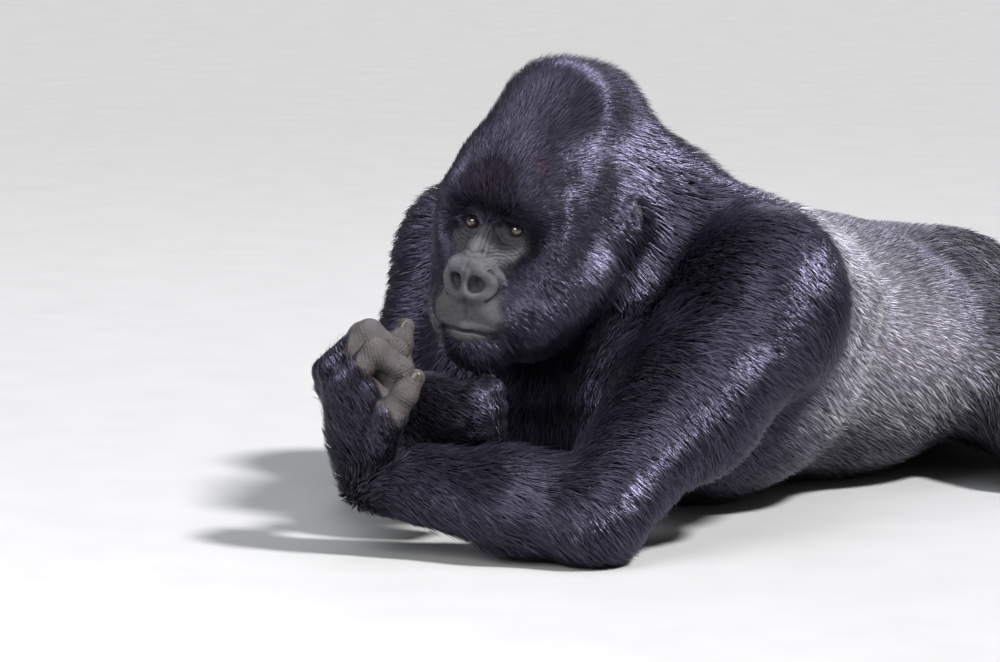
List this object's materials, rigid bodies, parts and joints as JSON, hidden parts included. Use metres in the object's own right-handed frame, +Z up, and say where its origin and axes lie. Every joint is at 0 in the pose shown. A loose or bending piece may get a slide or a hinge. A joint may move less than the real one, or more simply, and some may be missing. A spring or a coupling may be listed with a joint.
{
  "type": "gorilla",
  "caption": "Life-size male mountain gorilla with a silver back, lying on its belly and propped on its forearms, one fist raised beside the chin and the other hand under it.",
  "frame": {"origin": "on the ground, under the middle of the whole animal's box", "axes": "-Y the way the animal lies and looks, +X its left, +Z up from the ground it lies on"},
  "size_m": [0.9978, 1.5214, 0.6263],
  "materials": {
    "coat": "thick black fur with a bluish sheen, each lock lying along the body",
    "silver_coat": "short silver-grey fur flecked with black, over the back and flanks",
    "skin": "bare grey-black skin, finely wrinkled, slightly shiny on the nose",
    "eye": "wet dark brown eye"
  },
  "bodies": {
    "root": {"head": "coat", "neck": "coat", "chest": "coat", "belly": "silver_coat", "pelvis": "coat", "left_eye": "eye", "right_eye": "eye", "left_ear": "skin", "right_ear": "skin", "left_upper_arm": "coat", "left_forearm": "coat", "left_hand": "skin", "right_upper_arm": "coat", "right_forearm": "coat", "right_hand": "skin", "left_thigh": "coat", "left_shin": "coat", "left_foot": "skin", "right_thigh": "coat", "right_shin": "coat", "right_foot": "skin"}
  },
  "joints": []
}
